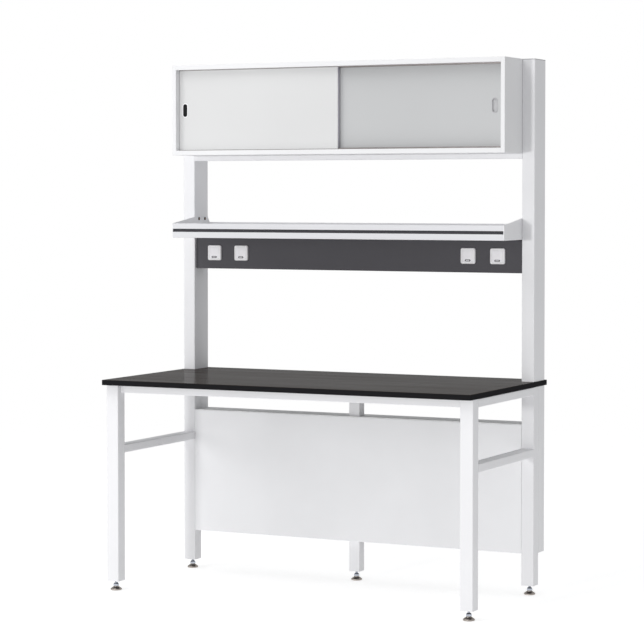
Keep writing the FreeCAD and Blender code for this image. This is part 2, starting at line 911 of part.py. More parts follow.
# ---- the whole bench ----
left_pull_x = -door_far + left_pull_inset
right_pull_x = door_far - right_pull_inset
rail_mid = cabinet_underside - cabinet_rail_height / 2
pieces = {
    "worktop": worktop(),
    "left_front_leg": front_leg(-1),
    "right_front_leg": front_leg(1),
    "left_rear_leg": rear_leg(-1),
    "right_rear_leg": rear_leg(1),
    "middle_rear_leg": middle_rear_leg(),
    "left_top_rail": side_rail(-1, rail_underside),
    "right_top_rail": side_rail(1, rail_underside),
    "left_mid_rail": side_rail(-1, mid_rail_underside),
    "right_mid_rail": side_rail(1, mid_rail_underside),
    "front_top_rail": front_top_rail(),
    "rear_top_rail": rear_top_rail(),
    "leg_plugs": leg_plugs(),
    "worktop_tabs": worktop_tabs(),
    "worktop_screws": worktop_screws(),
    "left_chase_side": chase_side(-1),
    "right_chase_side": chase_side(1),
    "chase_front_panel": chase_panel(post_front, 1),
    "chase_rear_panel": chase_panel(post_back, -1),
    "chase_top_cover": chase_top_cover(),
    "left_post": bored_post(-1),
    "right_post": bored_post(1),
    "post_caps": post_caps(),
    "post_base_plates": post_base_plates(),
    "post_bolts": post_bolts(),
    "power_panel": power_panel(),
    "power_panel_cover": power_panel_cover(),
    "shelf_tray": shelf_tray(),
    "shelf_lip": shelf_lip(),
    "shelf_lip_strip": shelf_strip(),
    "left_shelf_bracket": mirrored(right_shelf_bracket()),
    "right_shelf_bracket": right_shelf_bracket(),
    "shelf_bolts": shelf_bolts(),
    "cabinet_rail": cross_tube(
        post_front + cabinet_rail_depth / 2, rail_mid, cabinet_rail_depth, cabinet_rail_height
    ),
    "cabinet_top": cabinet_top(),
    "cabinet_bottom": cabinet_bottom(),
    "cabinet_left_side": cabinet_side(-1),
    "cabinet_right_side": cabinet_side(1),
    "cabinet_back": cabinet_back_board(),
    "cabinet_bolts": cabinet_bolts(),
    "upper_door_track": upper_door_track(),
    "lower_door_track": lower_door_track(),
    "left_door": sliding_door(-1, front_door_face, left_pull_x, 0.0),
    "right_door": sliding_door(1, rear_door_face, right_pull_x, rear_door_lift),
    "left_door_pull": door_pull(front_door_face, left_pull_x),
    "right_door_pull": door_pull(rear_door_face, right_pull_x),
}
for foot_name, (foot_x, foot_y) in foot_centres.items():
    pieces[foot_name] = levelling_foot(foot_x, foot_y)
for number, socket_x in enumerate(socket_centres, 1):
    pieces[f"socket_{number}"] = socket(socket_x)
    pieces[f"socket_lid_{number}"] = socket_lid(socket_x)

os.makedirs("parts", exist_ok=True)
for name, shape in pieces.items():
    shape.exportStep(f"parts/{name}.step")
print(len(pieces), "pieces")
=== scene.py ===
import json
import math

import bmesh
import bpy
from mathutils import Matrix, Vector


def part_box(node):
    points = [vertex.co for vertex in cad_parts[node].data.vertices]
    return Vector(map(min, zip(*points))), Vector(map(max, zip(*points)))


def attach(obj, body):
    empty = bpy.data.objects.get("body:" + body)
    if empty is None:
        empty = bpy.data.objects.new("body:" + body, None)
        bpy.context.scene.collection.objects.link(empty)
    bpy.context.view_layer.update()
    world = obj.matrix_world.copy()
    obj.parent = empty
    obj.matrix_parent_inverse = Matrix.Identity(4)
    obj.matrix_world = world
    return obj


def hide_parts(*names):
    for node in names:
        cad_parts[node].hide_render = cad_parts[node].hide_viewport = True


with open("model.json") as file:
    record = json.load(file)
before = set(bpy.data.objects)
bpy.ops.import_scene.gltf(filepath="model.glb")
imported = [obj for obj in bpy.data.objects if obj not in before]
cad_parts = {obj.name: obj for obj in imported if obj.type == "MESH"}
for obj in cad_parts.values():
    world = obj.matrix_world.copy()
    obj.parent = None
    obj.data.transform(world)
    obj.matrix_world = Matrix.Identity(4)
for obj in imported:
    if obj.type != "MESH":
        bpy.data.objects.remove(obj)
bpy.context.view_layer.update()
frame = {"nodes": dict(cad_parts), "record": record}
nodes = frame["nodes"]
slotOfNode = {part["node"]: part["material_slot"] for part in frame["record"]["subparts"]}
print("bench loaded:", len(nodes), "nodes")

mm = 0.001  # the scene is in metres
noiseLow, noiseHigh = 0.3, 0.7  # most values of a noise lie between these


# small helpers for node trees
def newFinish(name):
    material = bpy.data.materials.new(name)
    material.use_nodes = True
    tree = material.node_tree
    return material, tree, tree.nodes["Principled BSDF"]


def objectPlace(tree, stretch=(1, 1, 1)):
    place = tree.nodes.new("ShaderNodeTexCoord")
    mapping = tree.nodes.new("ShaderNodeMapping")
    mapping.inputs["Scale"].default_value = stretch
    tree.links.new(place.outputs["Object"], mapping.inputs["Vector"])
    return mapping.outputs["Vector"]


def grainOf(tree, place, scale, detail=2.0, roughness=0.5):
    noise = tree.nodes.new("ShaderNodeTexNoise")
    noise.inputs["Scale"].default_value = scale
    noise.inputs["Detail"].default_value = detail
    noise.inputs["Roughness"].default_value = roughness
    tree.links.new(place, noise.inputs["Vector"])
    return noise.outputs["Fac"]


def spreadOver(tree, value, low, high, fromLow=noiseLow, fromHigh=noiseHigh):
    spread = tree.nodes.new("ShaderNodeMapRange")
    spread.inputs["From Min"].default_value = fromLow
    spread.inputs["From Max"].default_value = fromHigh
    spread.inputs["To Min"].default_value = low
    spread.inputs["To Max"].default_value = high
    tree.links.new(value, spread.inputs["Value"])
    return spread.outputs["Result"]


def twoTones(tree, value, colour, shares):
    # the colour made darker and lighter by two shares, mixed by a grain
    ramp = tree.nodes.new("ShaderNodeValToRGB")
    for end, position, share in zip(ramp.color_ramp.elements, (noiseLow, noiseHigh), shares):
        end.position = position
        end.color = (*(min(1.0, channel * share) for channel in colour), 1)
    tree.links.new(value, ramp.inputs["Fac"])
    return ramp.outputs["Color"]


def raised(tree, heights, shader):
    # heights are (value, strength, depth in metres), stacked one bump on another
    below = None
    for value, strength, depth in heights:
        bump = tree.nodes.new("ShaderNodeBump")
        bump.inputs["Strength"].default_value = strength
        bump.inputs["Distance"].default_value = depth
        tree.links.new(value, bump.inputs["Height"])
        if below:
            tree.links.new(below, bump.inputs["Normal"])
        below = bump.outputs["Normal"]
    tree.links.new(below, shader.inputs["Normal"])


def surfaceOf(tree, shader, colour, grain, look):
    # the gloss is a range of roughness that follows a grain
    tree.links.new(colour, shader.inputs["Base Color"])
    smoothest, roughest = look["gloss"]
    tree.links.new(spreadOver(tree, grain, smoothest, roughest), shader.inputs["Roughness"])
    shader.inputs["Specular IOR Level"].default_value = look["shine"]


# baked paint: a faint orange peel over very fine grain
paintGrain = {
    "cloudScale": 4.0,
    "cloudTones": (0.975, 1.015),
    "dustScale": 6,             # times the scale of the peel
    "dustShare": 0.5,           # of the peel's strength
    "peelDepth": 0.6 * mm,
    "dustDepth": 0.1 * mm,
}


def powderCoat(name, look):
    marks = paintGrain
    material, tree, shader = newFinish(name)
    place = objectPlace(tree)
    cloud = grainOf(tree, place, marks["cloudScale"], detail=3.0)
    peel = grainOf(tree, place, look["peelScale"], detail=1.0)
    dust = grainOf(tree, place, look["peelScale"] * marks["dustScale"])
    surfaceOf(tree, shader, twoTones(tree, cloud, look["colour"], marks["cloudTones"]), peel, look)
    raised(tree, [
        (peel, look["peel"], marks["peelDepth"]),
        (dust, look["peel"] * marks["dustShare"], marks["dustDepth"]),
    ], shader)
    return material


# pressed board with a fine pearl grain
boardGrain = {
    "cloudScale": 2.5,
    "cloudTones": (0.985, 1.01),
    "waveScale": 60.0,
    "wave": 0.03,
    "waveDepth": 0.4 * mm,
    "pearlScale": 1400.0,
    "pearl": 0.12,
    "pearlDepth": 0.1 * mm,
}


def melamineBoard(name, look):
    marks = boardGrain
    material, tree, shader = newFinish(name)
    place = objectPlace(tree)
    cloud = grainOf(tree, place, marks["cloudScale"])
    pearl = grainOf(tree, place, marks["pearlScale"])
    wave = grainOf(tree, place, marks["waveScale"], detail=1.0)
    surfaceOf(tree, shader, twoTones(tree, cloud, look["colour"], marks["cloudTones"]), pearl, look)
    raised(tree, [
        (wave, marks["wave"], marks["waveDepth"]),
        (pearl, marks["pearl"], marks["pearlDepth"]),
    ], shader)
    return material


def mixedBy(tree, value, low, high):
    mix = tree.nodes.new("ShaderNodeMix")
    mix.data_type = "RGBA"
    tree.links.new(value, mix.inputs["Factor"])
    tree.links.new(low, mix.inputs["A"])
    tree.links.new(high, mix.inputs["B"])
    return mix.outputs["Result"]


# dark cast board: black edges, and a warmer, lighter face whose lift over the edges is painted sheen,
# with faint brushed streaks along the bench
resinGrain = {
    "streakStretch": (1.2, 42.0, 42.0),
    "streakDetail": 4.0,
    "streakRoughness": 0.65,
    "streakTones": (0.78, 1.22),
    "speckScale": 900.0,
    "speckTones": (0.9, 1.1),
    "speck": 0.15,
    "speckDepth": 0.1 * mm,
    "faceFrom": (0.6, 0.9),     # upward part of the normal, where edge turns to face
}


def faceUp(tree):
    # 1 on level faces, 0 on upright ones
    place = tree.nodes.new("ShaderNodeTexCoord")
    split = tree.nodes.new("ShaderNodeSeparateXYZ")
    tree.links.new(place.outputs["Normal"], split.inputs["Vector"])
    return spreadOver(tree, split.outputs["Z"], 0.0, 1.0, *resinGrain["faceFrom"])


def resinBoard(name, look):
    marks = resinGrain
    material, tree, shader = newFinish(name)
    long = objectPlace(tree, marks["streakStretch"])
    even = objectPlace(tree)
    streak = grainOf(tree, long, 1.0, marks["streakDetail"], marks["streakRoughness"])
    speck = grainOf(tree, even, marks["speckScale"])
    face = twoTones(tree, streak, look["colour"], marks["streakTones"])
    edge = twoTones(tree, speck, look["edge"], marks["speckTones"])
    # the mix by facing paints sheen: upward faces lighter and warmer than the edges
    surfaceOf(tree, shader, mixedBy(tree, faceUp(tree), edge, face), streak, look)
    raised(tree, [(speck, marks["speck"], marks["speckDepth"])], shader)
    return material


# plastic with a fine spark-eroded grain
plasticGrain = {
    "cloudScale": 30.0,
    "cloudTones": (0.96, 1.03),
    "grainDepth": 0.1 * mm,
}


def mouldedPlastic(name, look):
    marks = plasticGrain
    material, tree, shader = newFinish(name)
    place = objectPlace(tree)
    cloud = grainOf(tree, place, marks["cloudScale"])
    grain = grainOf(tree, place, look["grainScale"], detail=3.0)
    surfaceOf(tree, shader, twoTones(tree, cloud, look["colour"], marks["cloudTones"]), grain, look)
    raised(tree, [(grain, look["grain"], marks["grainDepth"])], shader)
    return material


# plated or drawn metal with fine marks along its length
metalGrain = {
    "hazeScale": 25.0,
    "hazeTones": (0.85, 1.08),
    "markDepth": 0.1 * mm,
}


def platedMetal(name, look):
    marks = metalGrain
    material, tree, shader = newFinish(name)
    long = objectPlace(tree, look["stretch"])
    even = objectPlace(tree)
    scratch = grainOf(tree, long, look["markScale"])
    haze = grainOf(tree, even, marks["hazeScale"], detail=3.0)
    surfaceOf(tree, shader, twoTones(tree, haze, look["colour"], marks["hazeTones"]), scratch, look)
    shader.inputs["Metallic"].default_value = 1.0
    raised(tree, [(scratch, look["marks"], marks["markDepth"])], shader)
    return material


# shine is the specular level, peel, grain and marks are strengths of relief
finishLooks = {
    "frame_paint": (powderCoat, {
        "colour": (0.865, 0.863, 0.88), "gloss": (0.34, 0.44), "shine": 0.5,
        "peelScale": 420.0, "peel": 0.06,
    }),
    # painted light: a lighter copy of the frame white for the chase front, against the shade under the
    # worktop
    "panel_paint": (powderCoat, {
        "colour": (0.90, 0.90, 0.915), "gloss": (0.38, 0.5), "shine": 0.45,
        "peelScale": 420.0, "peel": 0.06,
    }),
    # painted shade: a darker copy of the frame white for the shelf's lip
    "lip_paint": (powderCoat, {
        "colour": (0.765, 0.765, 0.79), "gloss": (0.34, 0.44), "shine": 0.4,
        "peelScale": 420.0, "peel": 0.06,
    }),
    # painted light: near white rather than the cover's grey, lifting the chase cover out of the shade
    # under the worktop
    "grey_paint": (powderCoat, {
        "colour": (0.90, 0.90, 0.90), "gloss": (0.36, 0.46), "shine": 0.4,
        "peelScale": 420.0, "peel": 0.06,
    }),
    "dark_paint": (powderCoat, {
        "colour": (0.076, 0.073, 0.083), "gloss": (0.5, 0.62), "shine": 0.3,
        "peelScale": 700.0, "peel": 0.12,
    }),
    "cabinet_board": (melamineBoard, {
        "colour": (0.86, 0.86, 0.87), "gloss": (0.36, 0.46), "shine": 0.4,
    }),
    "door_board": (melamineBoard, {
        "colour": (0.72, 0.72, 0.72), "gloss": (0.36, 0.46), "shine": 0.4,
    }),
    "grey_door_board": (melamineBoard, {
        "colour": (0.55, 0.555, 0.56), "gloss": (0.36, 0.46), "shine": 0.4,
    }),
    # painted sheen: the face colour is lighter and warmer than the board's black edge colour
    "worktop_board": (resinBoard, {
        "colour": (0.032, 0.0235, 0.0185), "edge": (0.015, 0.0147, 0.016), "gloss": (0.15, 0.27),
        "shine": 0.004,
    }),
    "black_plastic": (mouldedPlastic, {
        "colour": (0.006, 0.006, 0.007), "gloss": (0.5, 0.6), "shine": 0.25,
        "grainScale": 1100.0, "grain": 0.15,
    }),
    "grey_plastic": (mouldedPlastic, {
        "colour": (0.50, 0.50, 0.51), "gloss": (0.4, 0.5), "shine": 0.4,
        "grainScale": 1100.0, "grain": 0.12,
    }),
    "dark_plastic": (mouldedPlastic, {
        "colour": (0.024, 0.023, 0.030), "gloss": (0.45, 0.55), "shine": 0.4,
        "grainScale": 900.0, "grain": 0.12,
    }),
    # painted shade: a darker violet grey for the seam between the doors
    "band_plastic": (mouldedPlastic, {
        "colour": (0.52, 0.50, 0.60), "gloss": (0.45, 0.55), "shine": 0.3,
        "grainScale": 900.0, "grain": 0.12,
    }),
    "socket_plastic": (mouldedPlastic, {
        "colour": (0.97, 0.96, 0.975), "gloss": (0.34, 0.42), "shine": 0.4,
        "grainScale": 500.0, "grain": 0.02,
    }),
    "lid_plastic": (mouldedPlastic, {
        "colour": (0.95, 0.935, 0.96), "gloss": (0.42, 0.52), "shine": 0.35,
        "grainScale": 500.0, "grain": 0.03,
    }),
    "zinc": (platedMetal, {
        "colour": (0.66, 0.70, 0.78), "gloss": (0.2, 0.32), "shine": 0.5,
        "stretch": (1, 1, 1), "markScale": 600.0, "marks": 0.06,
    }),
    "dark_zinc": (platedMetal, {
        "colour": (0.20, 0.13, 0.08), "gloss": (0.35, 0.5), "shine": 0.5,
        "stretch": (1, 1, 1), "markScale": 600.0, "marks": 0.06,
    }),
    # painted reflection: the brown tint stands for the brownish reflection on the plated bells
    "foot_metal": (platedMetal, {
        "colour": (0.52, 0.47, 0.43), "gloss": (0.30, 0.42), "shine": 0.5,
        "stretch": (4, 4, 900), "markScale": 2.0, "marks": 0.05,
    }),
    # painted shade: far darker than the bare aluminium, standing in for the shade in the track channels
    # above and below the doors
    "track_metal": (platedMetal, {
        "colour": (0.24, 0.222, 0.218), "gloss": (0.3, 0.42), "shine": 0.5,
        "stretch": (1, 60, 60), "markScale": 30.0, "marks": 0.05,
    }),
}
finishes = {name: make(name + "_finish", look) for name, (make, look) in finishLooks.items()}

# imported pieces: soft edges and their own finish
edgeLook = {
    "board": 0.6 * mm,          # rounding of boards and worktop
    "sheet": 0.35 * mm,         # rounding of folded sheet, tubes and small parts
    "segments": 2,
    "sharpAngle": 38.0,         # degrees
    "weld": 0.01 * mm,          # points closer than this are one
}
# pieces cut from board
boards = {"worktop", "left_door", "right_door"} | {
    name for name in nodes
    if name.startswith("cabinet_") and "bolt" not in name and "rail" not in name
}


def softenEdges(piece, width):
    weld = piece.modifiers.new("weld", "WELD")
    weld.merge_threshold = edgeLook["weld"]
    bevel = piece.modifiers.new("edges", "BEVEL")
    bevel.width = width
    bevel.segments = edgeLook["segments"]
    bevel.limit_method = "ANGLE"
    bevel.angle_limit = math.radians(edgeLook["sharpAngle"])
    flat = piece.modifiers.new("flat faces", "WEIGHTED_NORMAL")
    flat.keep_sharp = False


# the lip is a darker white than the frame (painted shade), and the front of the chase a lighter one
# (painted light against the shade under the worktop)
finishOfNode = slotOfNode | {"shelf_lip": "lip_paint", "chase_front_panel": "panel_paint"}

for name, piece in nodes.items():
    softenEdges(piece, edgeLook["board"] if name in boards else edgeLook["sheet"])
    piece.data.materials.clear()
    piece.data.materials.append(finishes[finishOfNode[name]])
print("packed pieces finished")


# small helpers for the scene's own pieces
sideways, rearwards, upwards = Vector((1, 0, 0)), Vector((0, 1, 0)), Vector((0, 0, 1))


def planeAt(origin, across, up, out):
    # points of a plane of its own: u across, v up, w out of the surface
    return lambda u, v, w: origin + across * u + up * v + out * w


def roundedOutline(width, height, lower, upper, arcSteps=6):
    # closed outline round its centre, with one radius for the lower and one for the upper corners
    points = []
    for turn, radius in ((0, upper), (90, upper), (180, lower), (270, lower)):
        sideU = 1 if turn in (0, 270) else -1
        sideV = 1 if turn < 180 else -1
        for step in range(arcSteps + 1):
            angle = math.radians(turn + 90 * step / arcSteps)
            points.append((
                sideU * (width / 2 - radius) + radius * math.cos(angle),
                sideV * (height / 2 - radius) + radius * math.sin(angle),
            ))
    return points


def polarOutline(steps, radiusAt):
    turns = [2 * math.pi * step / steps for step in range(steps)]
    return [(radiusAt(turn) * math.cos(turn), radiusAt(turn) * math.sin(turn)) for turn in turns]


def circleOutline(radius, steps):
    return polarOutline(steps, lambda turn: radius)


def hexOutline(acrossFlats, reach, steps):
    # hexagon whose corners are cut back to a circle of the given reach
    def radiusAt(turn):
        offFlat = (turn + math.pi / 6) % (math.pi / 3) - math.pi / 6
        return min(acrossFlats / 2 / math.cos(offFlat), reach)
    return polarOutline(steps, radiusAt)


def joinRings(bm, rings, closed=False):
    # skin over rings of equal count, capped at both ends or closed on itself
    rows = [[bm.verts.new(point) for point in ring] for ring in rings]
    pairs = list(zip(rows, rows[1:]))
    if closed:
        pairs.append((rows[-1], rows[0]))
    for lower, upper in pairs:
        for i in range(len(lower)):
            j = (i + 1) % len(lower)
            bm.faces.new((lower[i], lower[j], upper[j], upper[i]))
    if not closed:
        bm.faces.new(rows[0][::-1])
        bm.faces.new(rows[-1])


def raisedRings(at, sections):
    # sections are (outline, w)
    return [[at(u, v, w) for u, v in outline] for outline, w in sections]


def turnedRings(at, profile, steps):
    # profile is (radius, w)
    return raisedRings(at, [(circleOutline(radius, steps), w) for radius, w in profile])


def makePiece(name, bm, body, slot, instead=None, sharpAngle=35.0, finish=None):
    # rides on a body, fills a slot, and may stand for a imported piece
    bmesh.ops.recalc_face_normals(bm, faces=bm.faces)
    mesh = bpy.data.meshes.new(name)
    bm.to_mesh(mesh)
    bm.free()
    mesh.shade_smooth()
    mesh.set_sharp_from_angle(angle=math.radians(sharpAngle))
    mesh.materials.append(finishes[finish or slot])
    piece = bpy.data.objects.new(name, mesh)
    bpy.context.scene.collection.objects.link(piece)
    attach(piece, body)
    if instead:
        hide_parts(instead)
    return piece


# levelling feet
footLook = {
    "steps": 72,
    "bellHeight": 16.0 * mm,
    "rimHeight": 5.6 * mm,
    "rimTuck": 2.6 * mm,        # how far the rim rounds in to the floor
    "rimRounded": 0.6,          # share of the rim's height that is rounded
    "rimUpright": 0.8,          # share at which its upper edge starts
    "roundSteps": 6,
    "neckRadius": 9.5 * mm,
    "edge": 0.75 * mm,
    "rimEdge": ((0.4, 0.0), (1.5, 0.6)),  # in and up from the rim's upper edge, in edges
    "neckStart": 3.0,           # end of the slope under the bell's top, in edges
    "slopeSteps": 12,
    "hollow": 0.86,             # below 1 the bell's slope is domed
    "nutWidth": 19.0 * mm,
    "nutHeight": 11.5 * mm,
    "nutChamfer": 1.0 * mm,
    "nutShoulder": 7.0 * mm,    # height of the slope round the nut's top
    "shoulderReach": (0.577, 0.26),  # reach of its corners and how much goes, in widths
    "shoulderSteps": 4,
    "nutSteps": 48,
    "stemRadius": 5.0 * mm,
    "stemTip": 0.25,            # length and radius taken off at the tip, in cores
    "threadPitch": 1.5 * mm,
    "threadDepth": 0.8 * mm,
    "threadRoot": 0.97,         # radius of the ridge's foot, in cores
    "threadFlank": 0.48,        # half the ridge's width, in pitches
    "threadSteps": 20,
    "plainEnd": 8.0 * mm,       # stem above the thread
}


def footBell(foot, at, baseRadius):
    look = footLook
    edge, rim, tuck = look["edge"], look["rimHeight"], look["rimTuck"]
    neck, top = look["neckRadius"], look["bellHeight"]
    profile = []
    for step in range(look["roundSteps"] + 1):
        turn = math.pi / 2 * step / look["roundSteps"]
        rise = rim * look["rimRounded"] * (1 - math.cos(turn))
        profile.append((baseRadius - tuck * (1 - math.sin(turn)), rise))
    profile.append((baseRadius, rim * look["rimUpright"]))
    profile += [(baseRadius - edge * inward, rim + edge * up) for inward, up in look["rimEdge"]]
    startRadius, startRise = profile[-1]
    endRise = top - edge * look["neckStart"]
    for step in range(1, look["slopeSteps"] + 1):
        share = step / look["slopeSteps"]
        rise = startRise + (endRise - startRise) * share ** look["hollow"]
        profile.append((startRadius + (neck - startRadius) * share, rise))
    profile += [(neck, top - edge / 2), (neck - edge / 2, top)]
    bm = bmesh.new()
    joinRings(bm, turnedRings(at, profile, look["steps"]))
    makePiece(foot + "_bell", bm, foot, "foot_metal", foot, sharpAngle=50.0)


def footNut(foot, at):
    look = footLook
    low = look["bellHeight"]
    high = low + look["nutHeight"]
    width, steps = look["nutWidth"], look["nutSteps"]
    sections = [
        (hexOutline(width, width / 2, steps), low),
        (hexOutline(width, width, steps), low + look["nutChamfer"]),
    ]
    fullReach, lostReach = look["shoulderReach"]
    for step in range(look["shoulderSteps"] + 1):
        share = step / look["shoulderSteps"]
        reach = width * (fullReach - lostReach * share ** 2)
        sections.append((hexOutline(width, reach, steps), high - look["nutShoulder"] * (1 - share)))
    bm = bmesh.new()
    joinRings(bm, raisedRings(at, sections))
    makePiece(foot + "_nut", bm, foot, "zinc", foot, sharpAngle=20.0)


def footStem(foot, at, top):
    # a plain core with a helical ridge wound round it
    look = footLook
    low = look["bellHeight"] + look["nutHeight"]
    core = look["stemRadius"] - look["threadDepth"]
    tip, steps = core * look["stemTip"], look["threadSteps"]
    bm = bmesh.new()
    profile = [(core, low - look["nutChamfer"]), (core, top - tip), (core - tip, top)]
    joinRings(bm, turnedRings(at, profile, steps))
    pitch = look["threadPitch"]
    root, flank = core * look["threadRoot"], look["threadFlank"] * pitch
    section = ((root, -flank), (look["stemRadius"], 0.0), (root, flank))
    count = int((top - look["plainEnd"] - low - pitch) / pitch * steps)
    rings = []
    for step in range(count + 1):
        turn = 2 * math.pi * step / steps
        middle = low + pitch / 2 + pitch * step / steps
        rings.append([at(r * math.cos(turn), r * math.sin(turn), middle + rise) for r, rise in section])
    joinRings(bm, rings)
    makePiece(foot + "_stem", bm, foot, "zinc", foot, sharpAngle=30.0)


def levellingFeet():
    for foot in [name for name in nodes if name.endswith("_foot")]:
        low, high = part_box(foot)
        centre = Vector(((low.x + high.x) / 2, (low.y + high.y) / 2, low.z))
        at = planeAt(centre, sideways, rearwards, upwards)
        footBell(foot, at, (high.x - low.x) / 2)
        footNut(foot, at)
        footStem(foot, at, high.z)


# socket covers: crowned plate, hinge barrel with pins, dark grip with a bar in it
lidLook = {
    "pinLength": 2.0 * mm,
    "pinRadius": 1.1 * mm,
    "pinTip": (0.8, 0.9),       # radius at the tip and where it starts, as shares
    "pinSteps": 24,
    "lipDepth": 1.2 * mm,       # grip bar in front of the plate
    "edge": 0.6 * mm,
    "crown": (                  # depth in half thicknesses, and inset of the outline in edges
        (-1, 0.5), (-0.86, 0.12), (-0.5, 0), (0, 0), (0.5, 0), (0.8, 0.15), (0.94, 0.5), (1, 1.2),
    ),
    "cornerRadius": 3.0 * mm,
    "upperRadius": 0.9 * mm,
    "gripRise": 5.5 * mm,       # lower edge of the cover to the middle of the grip
    "gripWidth": 23.0 * mm,
    "gripHeight": 7.0 * mm,
    "gripDepth": 0.25 * mm,
    "barWidth": 15.0 * mm,
    "barHeight": 2.8 * mm,
    "faceEdge": (0.6, 0.36),    # cut round the front of grip and bar: back and in, in depths
}


def lidPlate(name, low, high):
    look = lidLook
    half = (high.x - low.x) / 2 - look["pinLength"]
    front = low.y + look["lipDepth"]
    barrel = (high.y - front) / 2
    axis = high.z - barrel
    middle = Vector(((low.x + high.x) / 2, front + barrel, axis))
    at = planeAt(middle, sideways, upwards, -rearwards)
    sections = []
    for share, inset in look["crown"]:
        out = barrel * share
        crest = math.sqrt(max(0.0, barrel ** 2 - out ** 2))
        trim = look["edge"] * inset
        bottom = low.z - axis + trim
        width, height = 2 * (half - trim), crest - bottom
        outline = roundedOutline(width, height, look["cornerRadius"], look["upperRadius"])
        sections.append(([(u, v + (crest + bottom) / 2) for u, v in outline], out))
    bm = bmesh.new()
    joinRings(bm, raisedRings(at, sections))
    length, radius = look["pinLength"], look["pinRadius"]
    tipRadius, tipStart = look["pinTip"]
    for side in (-1, 1):
        end = planeAt(middle + sideways * side * half, rearwards, upwards, sideways * side)
        profile = [(radius, -length), (radius, length * tipStart), (radius * tipRadius, length)]
        joinRings(bm, turnedRings(end, profile, look["pinSteps"]))
    makePiece(name + "_plate", bm, name, "lid_plastic", name)


def lidGrip(name, low, high):
    look = lidLook
    front = low.y + look["lipDepth"]
    place = Vector(((low.x + high.x) / 2, front, low.z + look["gripRise"]))
    at = planeAt(place, sideways, upwards, -rearwards)
    edgeBack, edgeIn = look["faceEdge"]
    for part, width, height, depth, slot in (
        ("_grip", look["gripWidth"], look["gripHeight"], look["gripDepth"], "dark_plastic"),
        ("_bar", look["barWidth"], look["barHeight"], look["lipDepth"], "lid_plastic"),
    ):
        radius, trim = height / 2, depth * edgeIn
        full = roundedOutline(width, height, radius, radius)
        face = roundedOutline(width - 2 * trim, height - 2 * trim, radius - trim, radius - trim)
        bm = bmesh.new()
        joinRings(bm, raisedRings(at, [(full, -depth), (full, depth * (1 - edgeBack)), (face, depth)]))
        makePiece(name + part, bm, name, slot, name)


def socketCovers():
    for name in [name for name in nodes if name.startswith("socket_lid_")]:
        low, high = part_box(name)
        lidPlate(name, low, high)
        lidGrip(name, low, high)


# sprung earth strips in the wells, and sleeves in the pin holes
contactLook = {
    "floorBehindFace": 4.0 * mm,
    "wellDepth": 16.0 * mm,
    "wellRadius": 19.5 * mm,
    "stripWidth": 6.4 * mm,
    "stripThickness": 0.5 * mm,
    "stripPath": (              # depth and inset in mm
        (3.0, 0.4), (4.6, 2.7), (9.0, 3.3), (12.5, 2.7), (15.6, 3.0),
    ),
    "pinSpacing": 19.0 * mm,
    "sleeveOuter": 2.5 * mm,
    "sleeveInner": 2.1 * mm,
    "sleeveDepth": 8.0 * mm,
    "sleeveSink": 0.1 * mm,     # front of the sleeve under the well's floor
    "sleeveSteps": 24,
}


def earthStrip(bm, at, side):
    look = contactLook
    half = look["stripWidth"] / 2
    rings = []
    for depth, inset in look["stripPath"]:
        v = side * (look["wellRadius"] - inset * mm)
        w = -(look["floorBehindFace"] + depth * mm)
        over = v + side * look["stripThickness"]
        rings.append([at(-half, v, w), at(half, v, w), at(half, over, w), at(-half, over, w)])
    joinRings(bm, rings)


def pinSleeve(bm, at):
    look = contactLook
    front = -look["floorBehindFace"] - look["wellDepth"] - look["sleeveSink"]
    back = front + look["sleeveSink"] - look["sleeveDepth"]
    outer, inner = look["sleeveOuter"], look["sleeveInner"]
    profile = [(inner, front), (outer, front), (outer, back), (inner, back)]
    joinRings(bm, turnedRings(at, profile, look["sleeveSteps"]), closed=True)


def socketContacts():
    for name in [name for name in nodes if name.startswith("socket_") and "lid" not in name]:
        low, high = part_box(name)
        centre = Vector(((low.x + high.x) / 2, low.y, (low.z + high.z) / 2))
        at = planeAt(centre, sideways, upwards, -rearwards)
        bm = bmesh.new()
        for side in (-1, 1):
            earthStrip(bm, at, side)
            pin = centre + sideways * side * contactLook["pinSpacing"] / 2
            pinSleeve(bm, planeAt(pin, sideways, upwards, -rearwards))
        makePiece(name + "_contacts", bm, "bench", "zinc")


# door pulls: a rolled rim round a cup
pullLook = {
    "flange": 1.0 * mm,
    "rim": 3.5 * mm,
    "rimRoll": (                # in and out from the rim's outer edge, in rims and flanges
        (0.0, 0.0), (0.0, 0.35), (0.06, 0.7), (0.2, 0.93), (0.45, 1.0),
        (0.75, 0.9), (0.94, 0.6), (1.0, 0.2), (1.0, 0.0),
    ),
    "wall": 1.5 * mm,
    "cupFloor": ((1.0, 0.0), (0.4, 0.15), (0.1, 0.5), (0.0, 1.0)),  # in and up, in walls
    "mouthStep": (0.3, 0.1),    # width in walls and height in flanges of the cup's edge
    "backRound": 0.4,           # rounding behind the cup, in walls
    "rimSlots": {"left_door_pull": "socket_plastic", "right_door_pull": "grey_plastic"},
    "arcSteps": 12,
    "slack": 0.01 * mm,         # keeps a short straight between the two half circles
}


